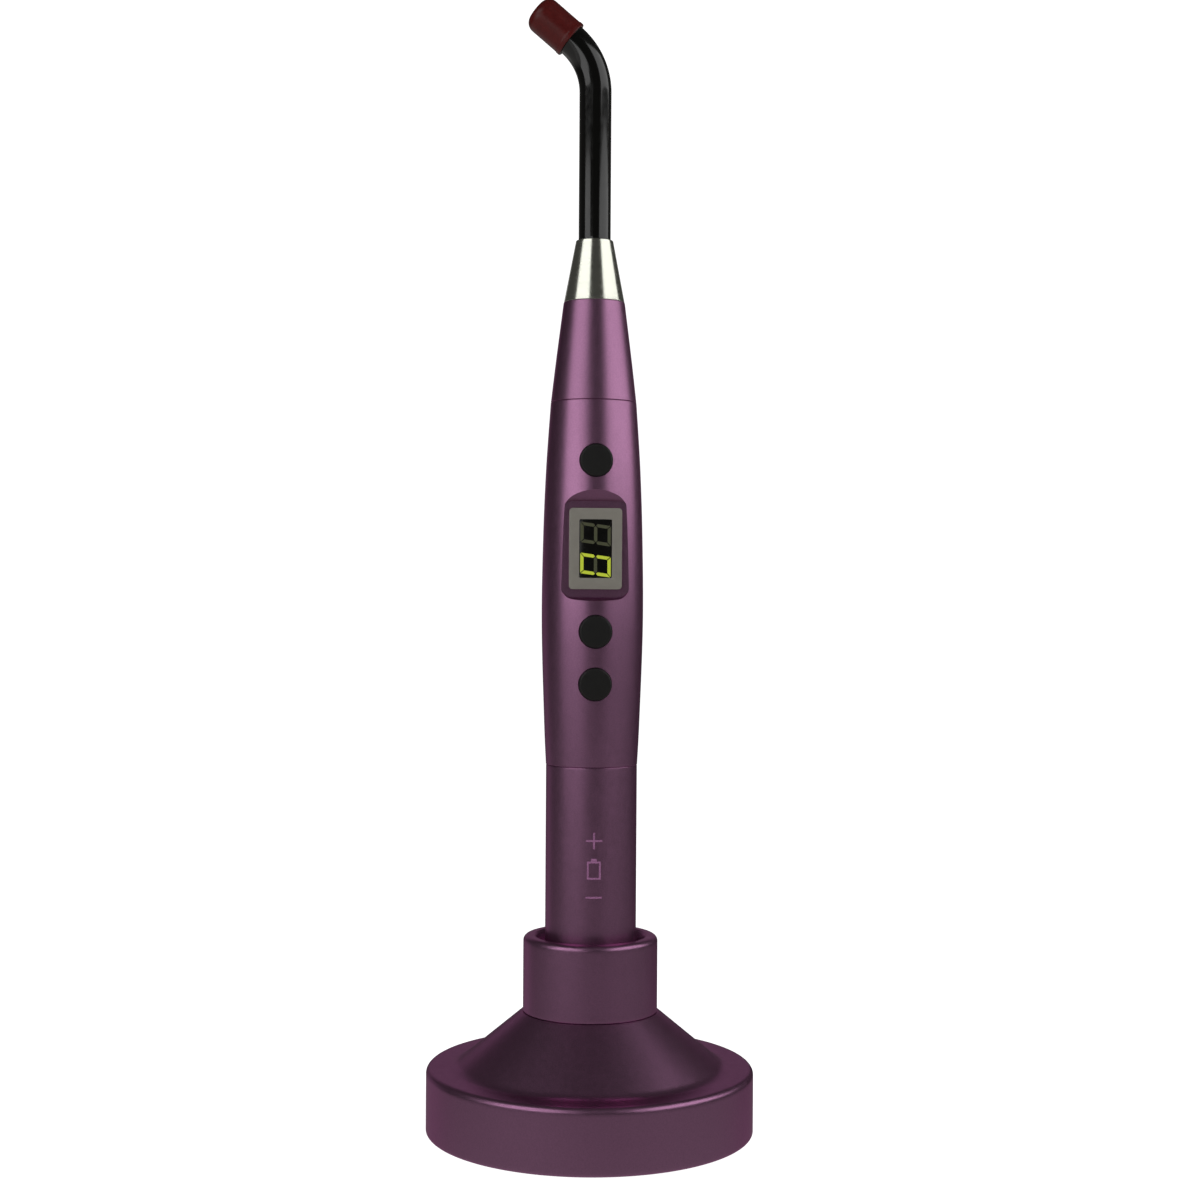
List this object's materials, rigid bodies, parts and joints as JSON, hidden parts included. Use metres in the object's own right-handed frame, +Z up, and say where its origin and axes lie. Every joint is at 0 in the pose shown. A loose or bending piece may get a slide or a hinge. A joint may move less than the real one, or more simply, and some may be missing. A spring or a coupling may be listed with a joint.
{
  "type": "dental curing light",
  "caption": "Cordless pen-shaped curing light with a bent light guide, buttons and a small display, standing in a round charging base.",
  "frame": {"origin": "on the table, under the middle of the charging base", "axes": "+Z up along the handpiece, buttons and display facing -Y, light guide bent towards -X"},
  "size_m": [0.0812, 0.0812, 0.2808],
  "materials": {
    "purple_metal": "bead-blasted, purple anodised",
    "chrome_nose": "polished",
    "black_guide": "polished black coat",
    "glass": "polished optical glass",
    "red_silicone": "satin dark red silicone",
    "black_button": "semi-gloss",
    "bezel_grey": "satin grey",
    "display_black": "smoked window",
    "black_plastic": "moulded, fine texture",
    "rubber": "matt",
    "steel": "zinc-plated or stainless",
    "contact_gold": "gold-plated",
    "heatsink": "turned",
    "circuit_board": "solder mask",
    "component_black": "moulded epoxy",
    "ceramic_white": "white package",
    "cell_wrap": "shrink-wrapped cell"
  },
  "bodies": {
    "base": {"base_shell": "purple_metal", "base_collar": "purple_metal", "socket_liner": "black_plastic", "socket_holder": "black_plastic", "base_cover": "black_plastic", "ballast_weight": "steel", "charge_board": "circuit_board", "power_inlet": "black_plastic", "foot_1": "rubber", "foot_2": "rubber", "foot_3": "rubber", "foot_4": "rubber", "cover_screw_1": "steel", "cover_screw_2": "steel", "cover_screw_3": "steel", "board_screw_left": "steel", "board_screw_right": "steel", "pin_sleeve_centre": "contact_gold", "pin_sleeve_ring": "contact_gold"},
    "charge_pin_centre": {"charge_pin_centre": "contact_gold"},
    "charge_pin_ring": {"charge_pin_ring": "contact_gold"},
    "rear": {"rear_barrel": "purple_metal", "tail_plug": "black_plastic", "tail_contact_centre": "contact_gold", "tail_contact_ring": "contact_gold", "battery_spring": "steel", "battery": "cell_wrap"},
    "thread_seal": {"thread_seal": "rubber"},
    "handpiece": {"body_shell": "purple_metal", "front_shell": "purple_metal", "nose_cone": "chrome_nose", "front_seal": "rubber", "led_heatsink": "heatsink", "led_board": "circuit_board", "led_emitter": "ceramic_white", "collimator_lens": "glass", "main_board": "circuit_board", "board_carrier": "black_plastic", "control_chip": "component_black", "buzzer": "black_plastic", "contact_carrier": "black_plastic", "contact_pin": "contact_gold", "display_module": "component_black", "display_bezel": "bezel_grey", "display_window": "display_black", "start_switch": "component_black", "time_switch": "component_black", "mode_switch": "component_black"},
    "start_button": {"start_button": "black_button"},
    "time_button": {"time_button": "black_button"},
    "mode_button": {"mode_button": "black_button"},
    "guide_seal": {"guide_seal": "rubber"},
    "light_guide": {"guide_ferrule": "steel", "guide_core": "glass", "guide_sleeve": "black_guide"},
    "tip_cap": {"tip_cap": "red_silicone"}
  },
  "joints": [
    {"name": "handpiece_lift", "type": "slide", "parent": "base", "child": "rear", "axis": [0, 0, 1], "range_m": [0, 0.045]},
    {"name": "thread_feed", "type": "slide", "parent": "rear", "child": "thread_seal", "axis": [0, 0, 1], "range_m": [0, 0.0061]},
    {"name": "body_unscrew", "type": "hinge", "parent": "thread_seal", "child": "handpiece", "pos_m": [0, 0, 0.0909], "axis": [0, 0, 1], "range_deg": [0, 1440]},
    {"name": "start_press", "type": "slide", "parent": "handpiece", "child": "start_button", "axis": [0, 1, 0], "range_m": [0, 0.0005], "stiffness_N_per_m": 350, "springref_m": -0.0015},
    {"name": "time_press", "type": "slide", "parent": "handpiece", "child": "time_button", "axis": [0, 1, 0], "range_m": [0, 0.0005], "stiffness_N_per_m": 350, "springref_m": -0.0015},
    {"name": "mode_press", "type": "slide", "parent": "handpiece", "child": "mode_button", "axis": [0, 1, 0], "range_m": [0, 0.0005], "stiffness_N_per_m": 350, "springref_m": -0.0015},
    {"name": "guide_pull", "type": "slide", "parent": "handpiece", "child": "guide_seal", "axis": [0, 0, 1], "range_m": [0, 0.02]},
    {"name": "guide_spin", "type": "hinge", "parent": "guide_seal", "child": "light_guide", "pos_m": [0, 0, 0.2211], "axis": [0, 0, 1], "continuous": true},
    {"name": "cap_pull", "type": "slide", "parent": "light_guide", "child": "tip_cap", "axis": [-0.766, 0, 0.6428], "range_m": [0, 0.014]},
    {"name": "pin_centre_press", "type": "slide", "parent": "base", "child": "charge_pin_centre", "axis": [0, 0, 1], "range_m": [-0.0008, 0], "stiffness_N_per_m": 400, "springref_m": 0.001},
    {"name": "pin_ring_press", "type": "slide", "parent": "base", "child": "charge_pin_ring", "axis": [0, 0, 1], "range_m": [-0.0008, 0], "stiffness_N_per_m": 400, "springref_m": 0.001}
  ],
  "couplings": [
    {"joint": "thread_feed", "follows": "body_unscrew", "m_per_rad": 0.00023873}
  ]
}
